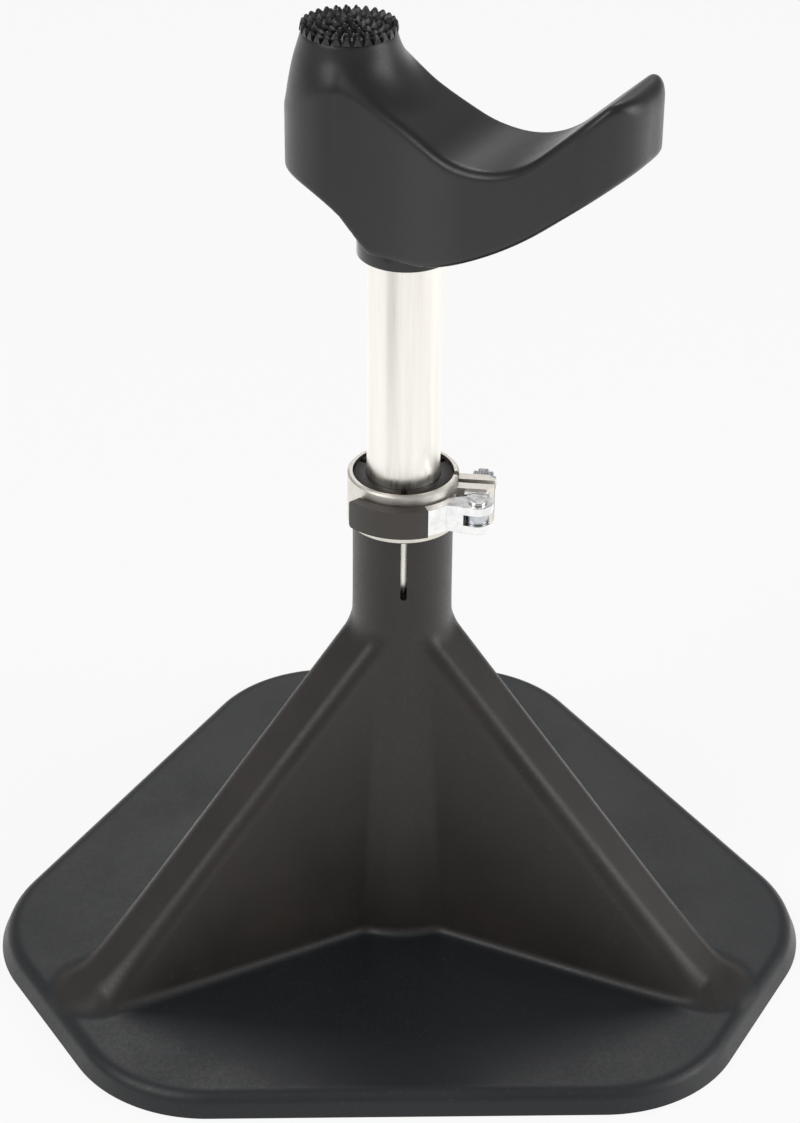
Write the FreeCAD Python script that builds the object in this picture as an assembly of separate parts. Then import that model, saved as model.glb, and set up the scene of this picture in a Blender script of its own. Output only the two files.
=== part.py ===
import FreeCAD
import Part

import math
import os

from FreeCAD import Vector

# Hoof trimming stand: a heavy moulded base with three ribs, a clamped sliding post and a
# swivelling rubber head with a round pedestal on one side and a cradle on the other.
# Millimetres, +Z up. The origin is on the post's axis at the floor, and -Y is the front.

# Base plate: three long and three short sides, seen from above
PLATE_LONG_REACH = 184.0
PLATE_SHORT_REACH = 220.0
PLATE_CORNER_RADIUS = 80.0
PLATE_THICKNESS = 12.0
PLATE_SIDE_LEAN = 5.0
PLATE_EDGE_RADIUS = 4.0
SIDE_COUNT = 3
FIRST_LONG_SIDE = 270.0

# Column and neck that guide the post
COLUMN_FOOT_RADIUS = 47.0
COLUMN_TOP = 194.0
NECK_RADIUS = 26.2
NECK_TOP = 275.5
NECK_EDGE = 0.8
BORE_FLOOR = 14.0
POST_CLEARANCE = 0.3
SLOT_WIDTH = 3.4
SLOT_BOTTOM = 213.0

# Ribs from the neck out to the short sides
FIRST_RIB = 90.0
RIB_TOP = 189.5
RIB_REACH = 208.0
RIB_CREST_HALF = 13.0
RIB_FOOT_HALF = 27.0
RIB_TIP_HALF = 17.0
RIB_TIP_CORNER = 29.0
RIB_SINK = 4.0
FOOT_STRIP = 3.5
# Each station: distance from the axis, crest rounding, width of the strip along the foot
RIB_STATIONS = [(10.0, 6.0, FOOT_STRIP), (188.0, 6.0, FOOT_STRIP), (206.0, 0.6, 0.8)]

# Post
POST_DIAMETER = 38.1
POST_WALL = 3.2
POST_TOP = 399.9
POST_LENGTH = 256.0
PLUG_DEPTH = 14.0
PLUG_LIP = 2.0
PLUG_HOLE_RADIUS = 5.0

# Swivel bushing in the post's top end
FLANGE_RADIUS = 24.5
FLANGE_HEIGHT = 12.6
FLANGE_EDGE = 0.8
SPIGOT_DEPTH = 30.0
RUNNING_GAP = 0.3
SHAFT_CLEARANCE = 0.08

# Steel spindle that is moulded into the head and turns in the bushing
SPINDLE_RADIUS = 8.0
SPINDLE_ANCHOR_RISE = 24.0
ANCHOR_RADIUS = 18.0
ANCHOR_THICKNESS = 4.0
THRUST_WASHER_THICKNESS = 1.6
THRUST_WASHER_RADIUS = 19.0
CIRCLIP_THICKNESS = 1.2
CIRCLIP_RADIUS = 12.0
CIRCLIP_GROOVE_DEPTH = 0.9
CIRCLIP_OPENING = 60.0
SPINDLE_TAIL = 3.0

# Head: heights are above the head's foot, and stations run along its length
HEAD_TURN = -30.0
HEAD_DROP = 5.5
HEAD_RECESS_GAP = 0.5
HEAD_WAIST_STATION = 8.0
HEAD_WAIST_HALF = 27.5
HEAD_WING_STATION = 47.0
HEAD_WING_HALF = 31.0
HEAD_TIP_STATION = 129.0
HEAD_TIP_CORNER = 27.0
PEDESTAL_STATION = -32.0
PEDESTAL_RADIUS = 31.6
PEDESTAL_WALL_TOP = 75.0
PEDESTAL_TOP_RADIUS = 23.8
PEDESTAL_TOP = 100.5
PEDESTAL_CROWN = 6.0
PEDESTAL_SHOULDER_RADIUS = 20.0
PEDESTAL_RIM_RADIUS = 2.5
SHOULDER_HEIGHT = 84.5
SHOULDER_BEND = 36.0
CRADLE_STATION = 50.0
CRADLE_FLOOR = 58.0
CRADLE_RADIUS = 50.0
CRADLE_WING_SLOPE = 43.0
CRADLE_SHOULDER_SLOPE = 27.0
CRADLE_EDGE_RADIUS = 2.8
# Underside: a flat end, a bend down to the flat over the collar, then two bends up to the tip
UNDER_END_RISE = 32.0
UNDER_END_STATION = -54.0
UNDER_END_BEND = 44.0
UNDER_END_SLOPE = 50.0
UNDER_FLAT_END = 10.5
UNDER_FIRST_BEND = 70.0
UNDER_FIRST_SLOPE = 22.0
UNDER_LAST_BEND = 200.0
UNDER_LAST_SLOPE = 39.5

# Grip studs on the pedestal's crown
STUD_HEIGHT = 3.3
STUD_HALF_WIDTH = 1.9
STUD_TIP_HALF = 0.4
# Each ring: radius and how many studs stand on it
STUD_RINGS = [(0.0, 1), (4.9, 7), (9.7, 14), (14.3, 20), (18.6, 25), (21.9, 29)]

# Clamp ring on the neck, with two ears
RING_CLEARANCE = 0.1
RING_WALL = 2.6
RING_HEIGHT = 28.0
RING_BELOW_NECK_TOP = 26.8
RING_EDGE = 0.9
EAR_TURN = -7.7
EAR_GAP = 3.8
EAR_THICKNESS = 5.8
EAR_REACH = 47.5
EAR_CORNER = 3.6
EAR_BELOW_RING_TOP = 4.4
EAR_WEB_RADIUS = 3.0

# Clamp bolt, its eye and nut
BOLT_RADIUS = 3.0
BOLT_REACH = 40.3
BOLT_HOLE_CLEARANCE = 0.15
BOLT_TAIL = 8.0
EYE_RADIUS = 5.8
NUT_RADIUS = 7.0
NUT_HEIGHT = 8.0
NUT_FLUTE_COUNT = 12
NUT_FLUTE_RADIUS = 1.0
PLAIN_WASHER_RADIUS = 6.2
PLAIN_WASHER_THICKNESS = 1.4
SADDLE_THICKNESS = 4.4
SADDLE_WIDTH = 15.0
SADDLE_FLOOR = 2.4

# Lever with a forked cam hub and a sleeve grip
HUB_RADIUS = 8.2
CAM_OFFSET = 0.6
LEVER_HEIGHT = 15.0
LEVER_RISE = 1.0
FORK_SLOT = 6.0
FORK_SLOT_DEPTH = 6.6
EYE_SIDE_GAP = 0.15
PIN_RADIUS = 2.6
PIN_HEAD_RADIUS = 4.8
PIN_HEAD_HEIGHT = 1.6
LEVER_RING_GAP = 1.4
LEVER_THICKNESS = 5.0
LEVER_ARM_START = -34.0
LEVER_LINK_END = -44.0
LEVER_LINK_SHARE = 0.8
GRIP_START = -63.0
GRIP_END = -134.0
GRIP_EXTRA = 0.9
GRIP_HEIGHT = 15.6
GRIP_TIP_HEIGHT = 12.6
GRIP_CORNER = 2.0
CORE_THICKNESS = 2.4
CORE_HEIGHT = 8.0
CORE_SHORT = 6.0

# Locating screw through the ring into the neck
SCREW_TURN = -25.0
SCREW_BELOW_RING_TOP = 10.5
SCREW_HEAD_RADIUS = 2.6
SCREW_HEAD_HEIGHT = 1.2
SCREW_RADIUS = 1.4
SCREW_BITE = 4.0

# Places worked out from the sizes above
FULL_TURN = 360.0
HALF_TURN = 180.0
QUARTER_TURN = 90.0
POST_RADIUS = POST_DIAMETER / 2
BORE_RADIUS = POST_RADIUS + POST_CLEARANCE
POST_BOTTOM = POST_TOP - POST_LENGTH
FLANGE_TOP = POST_TOP + FLANGE_HEIGHT
HEAD_FOOT = FLANGE_TOP - HEAD_DROP
RECESS_CEILING = FLANGE_TOP + RUNNING_GAP + THRUST_WASHER_THICKNESS
RING_INNER = NECK_RADIUS + RING_CLEARANCE
RING_OUTER = RING_INNER + RING_WALL
RING_BOTTOM = NECK_TOP - RING_BELOW_NECK_TOP
RING_TOP = RING_BOTTOM + RING_HEIGHT
BOLT_Z = RING_BOTTOM + RING_HEIGHT / 2 + LEVER_RISE
EAR_FACE = EAR_GAP / 2 + EAR_THICKNESS
PIN_Y = -(EAR_FACE + SADDLE_FLOOR + RUNNING_GAP + HUB_RADIUS + CAM_OFFSET)
LEVER_INNER = RING_OUTER + LEVER_RING_GAP
LEVER_OUTER = LEVER_INNER + LEVER_THICKNESS
LARGE = 200.0
TOLERANCE = 0.001
UPRIGHT = 0.98


def polar(radius, degrees, height=0.0):
    """The point at a radius and an angle about the post's axis."""
    turn = math.radians(degrees)
    return Vector(radius * math.cos(turn), radius * math.sin(turn), height)


def turned(shape, degrees):
    """A copy of a shape, turned about the post's axis."""
    copy = shape.copy()
    copy.rotate(Vector(0, 0, 0), Vector(0, 0, 1), degrees)
    return copy


def disc(radius, low, high, centre=Vector(0, 0, 0)):
    """An upright cylinder between two heights."""
    return Part.makeCylinder(radius, high - low, Vector(centre.x, centre.y, low))


def washer(outer, inner, low, high, centre=Vector(0, 0, 0)):
    """An upright ring between two heights."""
    return disc(outer, low, high, centre).cut(disc(inner, low, high, centre))


def block(x_low, x_high, y_low, y_high, z_low, z_high):
    """A box from its lowest to its highest corner."""
    return Part.makeBox(x_high - x_low, y_high - y_low, z_high - z_low, Vector(x_low, y_low, z_low))


def lathe(points):
    """A solid turned about the post's axis from (radius, height) points."""
    corners = [Vector(radius, 0, height) for radius, height in points]
    face = Part.Face(Part.makePolygon(corners + corners[:1]))
    return face.revolve(Vector(0, 0, 0), Vector(0, 0, 1), FULL_TURN)


def sector(inner, outer, start, end, low, high):
    """A piece of an upright ring between two angles, going clockwise from start to end."""
    middle = (start + end) / 2
    edges = [
        Part.Arc(polar(outer, start, low), polar(outer, middle, low), polar(outer, end, low)).toShape(),
        Part.makeLine(polar(outer, end, low), polar(inner, end, low)),
        Part.Arc(polar(inner, end, low), polar(inner, middle, low), polar(inner, start, low)).toShape(),
        Part.makeLine(polar(inner, start, low), polar(outer, start, low)),
    ]
    return Part.Face(Part.Wire(edges)).extrude(Vector(0, 0, high - low))


def edges_where(shape, test):
    """The edges of a shape whose middle point passes a test."""
    found = []
    for edge in shape.Edges:
        middle = edge.valueAt((edge.FirstParameter + edge.LastParameter) / 2)
        if test(edge, middle):
            found.append(edge)
    return found


def plate_outline(inset, height):
    """The plate's rounded outline, drawn in evenly by an inset."""
    corner = PLATE_CORNER_RADIUS - inset
    step = FULL_TURN / SIDE_COUNT / 2
    reaches = [PLATE_LONG_REACH - inset, PLATE_SHORT_REACH - inset]
    arcs = []
    for index in range(2 * SIDE_COUNT):
        first = FIRST_LONG_SIDE + index * step
        near = reaches[index % 2] - corner
        far = reaches[(index + 1) % 2] - corner
        along = (far - near * math.cos(math.radians(step))) / math.sin(math.radians(step))
        centre = polar(near, first, height) + polar(along, first + QUARTER_TURN)
        arcs.append(Part.Arc(centre + polar(corner, first), centre + polar(corner, first + step / 2),
                             centre + polar(corner, first + step)))
    edges = []
    for index, arc in enumerate(arcs):
        following = arcs[(index + 1) % len(arcs)]
        edges.append(arc.toShape())
        edges.append(Part.makeLine(arc.EndPoint, following.StartPoint))
    return Part.Wire(edges)


def base_plate():
    """The plate with its leaning side and rounded upper edge."""
    outlines = [plate_outline(0.0, 0.0), plate_outline(PLATE_SIDE_LEAN, PLATE_THICKNESS)]
    plate = Part.makeLoft(outlines, True, True)
    rim = edges_where(plate, lambda edge, middle: abs(middle.z - PLATE_THICKNESS) < PLATE_EDGE_RADIUS / 2)
    return plate.makeFillet(PLATE_EDGE_RADIUS, rim).Solids[0]


def rib_section(station, rounding, toe):
    """The rib's cross-section at a distance from the post's axis, with rounded crest corners."""
    slope = (RIB_TOP - PLATE_THICKNESS) / (RIB_REACH - NECK_RADIUS)
    foot_half = RIB_FOOT_HALF + (RIB_TIP_HALF - RIB_FOOT_HALF) * station / RIB_REACH
    foot = Vector(station, foot_half, PLATE_THICKNESS)
    crest = Vector(station, RIB_CREST_HALF, PLATE_THICKNESS + slope * (RIB_REACH - station))
    down = (foot - crest).normalize()
    inward = Vector(0, -1, 0)
    half_angle = down.getAngle(inward) / 2
    reach = rounding / math.tan(half_angle)
    bisector = (down + inward).normalize()
    bulge = crest + bisector * (rounding / math.sin(half_angle) - rounding)
    right = [
        Vector(station, foot_half + toe, PLATE_THICKNESS - RIB_SINK),
        Vector(station, foot_half + toe, PLATE_THICKNESS),
        foot - down * toe,
        crest + down * reach,
        crest + inward * reach,
    ]
    left = [Vector(point.x, -point.y, point.z) for point in right]
    edges = [Part.makeLine(right[0], right[1]), Part.makeLine(right[1], right[2])]
    edges += [Part.makeLine(right[2], right[3]), Part.Arc(right[3], bulge, right[4]).toShape()]
    edges += [Part.makeLine(right[4], left[4])]
    edges += [Part.Arc(left[4], Vector(bulge.x, -bulge.y, bulge.z), left[3]).toShape()]
    edges += [Part.makeLine(left[3], left[2]), Part.makeLine(left[2], left[1])]
    edges += [Part.makeLine(left[1], left[0]), Part.makeLine(left[0], right[0])]
    return Part.Wire(edges)


def rib():
    """One rib along +X: a wide foot under a narrower sloping crest with rounded edges."""
    body = Part.makeLoft([rib_section(*station) for station in RIB_STATIONS], True, True)
    tip = RIB_STATIONS[-1][0]
    half = RIB_FOOT_HALF + FOOT_STRIP
    outline = block(0, tip, -half, half, 0, 2 * LARGE)
    corners = edges_where(outline, lambda edge, middle: middle.x > tip - TOLERANCE and edge.Length > LARGE)
    return body.common(outline.makeFillet(RIB_TIP_CORNER, corners))


def base_moulding():
    """Plate, column, neck and ribs in one moulding, with the post's bore and the neck's slots."""
    column = lathe([
        (0, PLATE_THICKNESS - RIB_SINK),
        (COLUMN_FOOT_RADIUS + FOOT_STRIP, PLATE_THICKNESS - RIB_SINK),
        (COLUMN_FOOT_RADIUS + FOOT_STRIP, PLATE_THICKNESS),
        (COLUMN_FOOT_RADIUS, PLATE_THICKNESS + FOOT_STRIP),
        (NECK_RADIUS, COLUMN_TOP),
        (NECK_RADIUS, NECK_TOP - NECK_EDGE),
        (NECK_RADIUS - NECK_EDGE, NECK_TOP),
        (0, NECK_TOP),
    ])
    step = FULL_TURN / SIDE_COUNT
    ribs = [turned(rib(), FIRST_RIB + index * step) for index in range(SIDE_COUNT)]
    body = base_plate().multiFuse([column] + ribs).removeSplitter().Solids[0]
    cuts = [disc(BORE_RADIUS, BORE_FLOOR, NECK_TOP + SLOT_WIDTH)]
    slot = block(0, NECK_RADIUS + SLOT_WIDTH, -SLOT_WIDTH / 2, SLOT_WIDTH / 2,
                 SLOT_BOTTOM + SLOT_WIDTH / 2, NECK_TOP + SLOT_WIDTH)
    slot_end = Part.makeCylinder(SLOT_WIDTH / 2, NECK_RADIUS + SLOT_WIDTH,
                                 Vector(0, 0, SLOT_BOTTOM + SLOT_WIDTH / 2), Vector(1, 0, 0))
    for index in range(SIDE_COUNT):
        cuts += [turned(piece, FIRST_LONG_SIDE + index * step) for piece in (slot, slot_end)]
    cuts.append(locating_screw())
    return body.cut(Part.makeCompound(cuts))


def post_tube():
    """The sliding post."""
    tube = washer(POST_RADIUS, POST_RADIUS - POST_WALL, POST_BOTTOM, POST_TOP)
    return tube


def tube_end_plug():
    """The plug that closes the post's lower end, with a vent for the air in the bore."""
    inner = POST_RADIUS - POST_WALL
    plug = lathe([
        (PLUG_HOLE_RADIUS, POST_BOTTOM - PLUG_LIP),
        (POST_RADIUS - FLANGE_EDGE, POST_BOTTOM - PLUG_LIP),
        (POST_RADIUS, POST_BOTTOM - PLUG_LIP + FLANGE_EDGE),
        (POST_RADIUS, POST_BOTTOM),
        (inner, POST_BOTTOM),
        (inner, POST_BOTTOM + PLUG_DEPTH),
        (PLUG_HOLE_RADIUS, POST_BOTTOM + PLUG_DEPTH),
    ])
    return plug


def swivel_bushing():
    """The glossy collar on the post: a flange over a spigot inside the tube."""
    inner = POST_RADIUS - POST_WALL
    bore = SPINDLE_RADIUS + SHAFT_CLEARANCE
    return lathe([
        (bore, POST_TOP - SPIGOT_DEPTH),
        (inner - FLANGE_EDGE, POST_TOP - SPIGOT_DEPTH),
        (inner, POST_TOP - SPIGOT_DEPTH + FLANGE_EDGE),
        (inner, POST_TOP),
        (FLANGE_RADIUS - FLANGE_EDGE, POST_TOP),
        (FLANGE_RADIUS, POST_TOP + FLANGE_EDGE),
        (FLANGE_RADIUS, FLANGE_TOP - FLANGE_EDGE),
        (FLANGE_RADIUS - FLANGE_EDGE, FLANGE_TOP),
        (bore, FLANGE_TOP),
    ])


def spindle():
    """The stem that carries the head and turns in the bushing."""
    clip_top = POST_TOP - SPIGOT_DEPTH - RUNNING_GAP
    clip_bottom = clip_top - CIRCLIP_THICKNESS
    foot = clip_bottom - SPINDLE_TAIL
    anchor_bottom = RECESS_CEILING + SPINDLE_ANCHOR_RISE
    waist = SPINDLE_RADIUS - CIRCLIP_GROOVE_DEPTH
    return lathe([
        (0, foot),
        (waist, foot),
        (SPINDLE_RADIUS, foot + CIRCLIP_GROOVE_DEPTH),
        (SPINDLE_RADIUS, clip_bottom),
        (waist, clip_bottom),
        (waist, clip_top),
        (SPINDLE_RADIUS, clip_top),
        (SPINDLE_RADIUS, anchor_bottom),
        (0, anchor_bottom),
    ])


def spindle_anchor():
    """The plate on the stem's top end that locks it in the rubber."""
    low = RECESS_CEILING + SPINDLE_ANCHOR_RISE
    return disc(ANCHOR_RADIUS, low, low + ANCHOR_THICKNESS)


def thrust_washer():
    """The slippery washer that the head turns on, above the collar."""
    low = FLANGE_TOP + RUNNING_GAP
    return washer(THRUST_WASHER_RADIUS, SPINDLE_RADIUS, low, RECESS_CEILING)


def spindle_circlip():
    """The spring clip that keeps the spindle in the bushing."""
    high = POST_TOP - SPIGOT_DEPTH - RUNNING_GAP
    low = high - CIRCLIP_THICKNESS
    clip = washer(CIRCLIP_RADIUS, SPINDLE_RADIUS - CIRCLIP_GROOVE_DEPTH, low, high)
    mouth = Part.makeCylinder(2 * CIRCLIP_RADIUS, CIRCLIP_THICKNESS, Vector(0, 0, low), Vector(0, 0, 1),
                              CIRCLIP_OPENING)
    return clip.cut(turned(mouth, HALF_TURN))


def side_prism(edges):
    """A prism across the head's width from a closed outline in its long upright plane."""
    face = Part.Face(Part.Wire(edges))
    face.translate(Vector(0, -LARGE / 2, 0))
    return face.extrude(Vector(0, LARGE, 0))


def closed_below(line, depth):
    """The edges of a line in the head's upright plane, closed round through a level far from it."""
    start = line[0].Vertexes[0].Point
    end = line[-1].Vertexes[-1].Point
    corners = [end, Vector(end.x, 0, depth), Vector(start.x, 0, depth), start]
    return line + [Part.makeLine(first, second) for first, second in zip(corners, corners[1:])]


def cradle_line():
    """The head's top line: a flat shoulder, a bend, the cradle's round floor and the straight wing."""
    centre = Vector(CRADLE_STATION, 0, HEAD_FOOT + CRADLE_FLOOR + CRADLE_RADIUS)
    down = math.radians(CRADLE_SHOULDER_SLOPE)
    up = math.radians(CRADLE_WING_SLOPE)
    low = centre + Vector(-math.sin(down), 0, -math.cos(down)) * CRADLE_RADIUS
    high = centre + Vector(math.sin(up), 0, -math.cos(up)) * CRADLE_RADIUS
    floor = centre + Vector(0, 0, -CRADLE_RADIUS)
    shoulder = HEAD_FOOT + SHOULDER_HEIGHT
    corner = low + Vector(-1, 0, math.tan(down)) * ((shoulder - low.z) / math.tan(down))
    reach = SHOULDER_BEND * math.tan(down / 2)
    bend_start = corner - Vector(reach, 0, 0)
    bend_end = corner + Vector(math.cos(down), 0, -math.sin(down)) * reach
    bend_middle = bend_start + Vector(math.sin(down / 2), 0, math.cos(down / 2) - 1) * SHOULDER_BEND
    run = (HEAD_TIP_STATION + HEAD_TIP_CORNER - high.x) / math.cos(up)
    end = high + Vector(math.cos(up), 0, math.sin(up)) * run
    return [
        Part.makeLine(Vector(PEDESTAL_STATION, 0, shoulder), bend_start),
        Part.Arc(bend_start, bend_middle, bend_end).toShape(),
        Part.makeLine(bend_end, low),
        Part.Arc(low, floor, high).toShape(),
        Part.makeLine(high, end),
    ]


def bend(start, first_slope, last_slope, radius):
    """An upright arc from a point, rising from one slope in degrees to another, and its end."""
    turns = [math.radians(first_slope + (last_slope - first_slope) * share) for share in (0.0, 0.5, 1.0)]
    sign = math.copysign(1, last_slope - first_slope)
    centre = start + Vector(-math.sin(turns[0]), 0, math.cos(turns[0])) * radius * sign
    points = [centre + Vector(math.sin(turn), 0, -math.cos(turn)) * radius * sign for turn in turns]
    return Part.Arc(*points).toShape(), points[-1]


def underside_line():
    """The head's lower line: a flat end, the flat over the collar, and a long bow up to the tip."""
    far = Vector(PEDESTAL_STATION - 2 * PEDESTAL_RADIUS, 0, HEAD_FOOT + UNDER_END_RISE)
    end = Vector(UNDER_END_STATION, 0, HEAD_FOOT + UNDER_END_RISE)
    end_arc, low = bend(end, 0.0, -UNDER_END_SLOPE, UNDER_END_BEND)
    run = (low.z - HEAD_FOOT) / math.tan(math.radians(UNDER_END_SLOPE))
    flat_start = Vector(low.x + run, 0, HEAD_FOOT)
    flat_end = Vector(UNDER_FLAT_END, 0, HEAD_FOOT)
    first_arc, between = bend(flat_end, 0.0, UNDER_FIRST_SLOPE, UNDER_FIRST_BEND)
    last_arc, high = bend(between, UNDER_FIRST_SLOPE, UNDER_LAST_SLOPE, UNDER_LAST_BEND)
    rise = math.radians(UNDER_LAST_SLOPE)
    tip = high + Vector(math.cos(rise), 0, math.sin(rise)) * LARGE
    return [
        Part.makeLine(far, end),
        end_arc,
        Part.makeLine(low, flat_start),
        Part.makeLine(flat_start, flat_end),
        first_arc,
        last_arc,
        Part.makeLine(high, tip),
    ]


def head_plan(height):
    """The wing's outline from above: waisted at the post, wide at the cradle, round at the tip."""
    corner = HEAD_TIP_CORNER
    diagonal = corner * math.sqrt(0.5)
    centre = Vector(HEAD_TIP_STATION - corner, HEAD_WING_HALF - corner, height)
    start = Vector(PEDESTAL_STATION, PEDESTAL_RADIUS, height)
    waist = Vector(HEAD_WAIST_STATION, HEAD_WAIST_HALF, height)
    wide = Vector(HEAD_WING_STATION, HEAD_WING_HALF, height)
    turn_in = centre + Vector(0, corner, 0)
    turn_middle = centre + Vector(diagonal, diagonal, 0)
    turn_out = centre + Vector(corner, 0, 0)

    def other(point):
        """The same point on the other side of the head."""
        return Vector(point.x, -point.y, point.z)

    return Part.Wire([
        Part.Arc(start, waist, wide).toShape(),
        Part.makeLine(wide, turn_in),
        Part.Arc(turn_in, turn_middle, turn_out).toShape(),
        Part.makeLine(turn_out, other(turn_out)),
        Part.Arc(other(turn_out), other(turn_middle), other(turn_in)).toShape(),
        Part.makeLine(other(turn_in), other(wide)),
        Part.Arc(other(wide), other(waist), other(start)).toShape(),
        Part.makeLine(other(start), start),
    ])


def crown_radius():
    """The radius of the pedestal's domed crown."""
    return (PEDESTAL_TOP_RADIUS ** 2 + PEDESTAL_CROWN ** 2) / (2 * PEDESTAL_CROWN)


def pedestal():
    """The round pedestal: an upright wall, a tapering neck with soft edges and a low crown."""
    base = Vector(PEDESTAL_RADIUS, 0, HEAD_FOOT)
    wall_top = Vector(PEDESTAL_RADIUS, 0, HEAD_FOOT + PEDESTAL_WALL_TOP)
    rim = Vector(PEDESTAL_TOP_RADIUS, 0, HEAD_FOOT + PEDESTAL_TOP)
    crown = Vector(0, 0, HEAD_FOOT + PEDESTAL_TOP + PEDESTAL_CROWN)
    tilt = math.asin(PEDESTAL_TOP_RADIUS / crown_radius()) / 2
    on_dome = crown + Vector(math.sin(tilt), 0, math.cos(tilt) - 1) * crown_radius()
    edges = [
        Part.makeLine(Vector(0, 0, HEAD_FOOT), base),
        Part.makeLine(base, wall_top),
        Part.makeLine(wall_top, rim),
        Part.Arc(rim, on_dome, crown).toShape(),
        Part.makeLine(crown, Vector(0, 0, HEAD_FOOT)),
    ]
    body = Part.Face(Part.Wire(edges)).revolve(Vector(0, 0, 0), Vector(0, 0, 1), FULL_TURN)
    bend_height = HEAD_FOOT + PEDESTAL_WALL_TOP
    body = body.makeFillet(PEDESTAL_SHOULDER_RADIUS, edges_where(
        body, lambda edge, middle: abs(middle.z - bend_height) < 1 and edge.Length > PEDESTAL_RADIUS))
    rim_height = HEAD_FOOT + PEDESTAL_TOP
    body = body.makeFillet(PEDESTAL_RIM_RADIUS, edges_where(
        body, lambda edge, middle: abs(middle.z - rim_height) < 1 and edge.Length > PEDESTAL_RADIUS))
    body.translate(Vector(PEDESTAL_STATION, 0, 0))
    return body


def head_blank():
    """The head before its sockets are cut, along +X in its own frame."""
    wing = Part.Face(head_plan(HEAD_FOOT)).extrude(Vector(0, 0, LARGE))
    wing = wing.common(side_prism(closed_below(cradle_line(), HEAD_FOOT - LARGE))).Solids[0]

    def on_rim(edge, middle):
        """Whether an edge runs between the upper face and a side of the wing."""
        upright = abs(edge.tangentAt(edge.FirstParameter).z) > UPRIGHT
        at_side = abs(middle.y) > HEAD_WAIST_HALF / 2 or middle.x > HEAD_TIP_STATION - TOLERANCE
        by_pedestal = abs(middle.y) + middle.x < 0
        return middle.z > HEAD_FOOT + CRADLE_FLOOR - 1 and at_side and not upright and not by_pedestal

    wing = wing.makeFillet(CRADLE_EDGE_RADIUS, edges_where(wing, on_rim))
    body = wing.fuse(pedestal()).removeSplitter()
    body = body.common(side_prism(closed_below(underside_line(), HEAD_FOOT + 2 * LARGE)))
    return body


def head_moulding():
    """The rubber head with its recess over the collar and the sockets of the steel inside."""
    recess = disc(FLANGE_RADIUS + HEAD_RECESS_GAP, HEAD_FOOT - HEAD_DROP, RECESS_CEILING)
    sockets = [recess, spindle(), spindle_anchor()]
    return turned(head_blank().cut(Part.makeCompound(sockets)), HEAD_TURN)


def grip_studs():
    """Small blunt pyramids in rings on the pedestal's crown, each one square to the dome."""
    dome = crown_radius()
    centre = Vector(PEDESTAL_STATION, 0, HEAD_FOOT + PEDESTAL_TOP + PEDESTAL_CROWN - dome)
    studs = []
    for radius, count in STUD_RINGS:
        for index in range(count):
            stud = Part.makeWedge(-STUD_HALF_WIDTH, 0, -STUD_HALF_WIDTH, -STUD_TIP_HALF, -STUD_TIP_HALF,
                                  STUD_HALF_WIDTH, STUD_HEIGHT, STUD_HALF_WIDTH, STUD_TIP_HALF, STUD_TIP_HALF)
            stud.rotate(Vector(0, 0, 0), Vector(1, 0, 0), QUARTER_TURN)
            stud.translate(Vector(0, 0, dome))
            stud.rotate(Vector(0, 0, 0), Vector(0, 1, 0), math.degrees(math.asin(radius / dome)))
            stud.rotate(Vector(0, 0, 0), Vector(0, 0, 1), index * FULL_TURN / count)
            stud.translate(centre)
            studs.append(turned(stud, HEAD_TURN))
    return Part.makeCompound(studs)


def clamp_ring():
    """The split ring with its two ears and the bolt's hole through both."""
    ring = lathe([
        (RING_INNER, RING_BOTTOM),
        (RING_OUTER - RING_EDGE, RING_BOTTOM),
        (RING_OUTER, RING_BOTTOM + RING_EDGE),
        (RING_OUTER, RING_TOP - RING_EDGE),
        (RING_OUTER - RING_EDGE, RING_TOP),
        (RING_INNER, RING_TOP),
    ])
    ears = block(RING_INNER, EAR_REACH, -EAR_FACE, EAR_FACE, RING_BOTTOM, RING_TOP - EAR_BELOW_RING_TOP)
    corners = edges_where(ears, lambda edge, middle: middle.x > EAR_REACH - TOLERANCE
                          and abs(abs(middle.y) - EAR_FACE) < TOLERANCE)
    ears = ears.makeChamfer(EAR_CORNER, corners)
    body = ring.fuse(ears).cut(disc(RING_INNER, RING_BOTTOM, RING_TOP))
    web = edges_where(body, lambda edge, middle: abs(abs(middle.y) - EAR_FACE) < TOLERANCE
                      and middle.x < RING_OUTER and edge.Length > RING_HEIGHT / 2)
    body = body.makeFillet(EAR_WEB_RADIUS, web)
    split = block(0, EAR_REACH + 1, -EAR_GAP / 2, EAR_GAP / 2, RING_BOTTOM, RING_TOP)
    hole = bolt_rod(BOLT_RADIUS + BOLT_HOLE_CLEARANCE, -EAR_FACE, EAR_FACE)
    body = turned(body.cut(Part.makeCompound([split, hole])), EAR_TURN)
    return body.cut(locating_screw())


def bolt_rod(radius, y_low, y_high):
    """A round bar on the clamp bolt's axis, in the ears' frame."""
    return Part.makeCylinder(radius, y_high - y_low, Vector(BOLT_REACH, y_low, BOLT_Z), Vector(0, 1, 0))


def nut_face():
    """How far behind the ring's split the nut's near face stands."""
    return EAR_FACE + PLAIN_WASHER_THICKNESS


def clamp_bolt():
    """The eye bolt that the lever pulls through both ears."""
    centre = Vector(BOLT_REACH, PIN_Y, 0)
    half = FORK_SLOT / 2 - EYE_SIDE_GAP
    eye = disc(EYE_RADIUS, BOLT_Z - half, BOLT_Z + half, centre)
    shank = bolt_rod(BOLT_RADIUS, PIN_Y, nut_face() + NUT_HEIGHT + BOLT_TAIL)
    tail = edges_where(shank, lambda edge, middle: middle.y > nut_face() + NUT_HEIGHT)
    shank = shank.makeChamfer(BOLT_RADIUS / 4, tail)
    bolt = eye.fuse(shank.common(block(0, LARGE, -LARGE, LARGE, BOLT_Z - half, BOLT_Z + half)))
    return turned(bolt.cut(disc(PIN_RADIUS + SHAFT_CLEARANCE, 0, RING_TOP, centre)), EAR_TURN)


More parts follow.
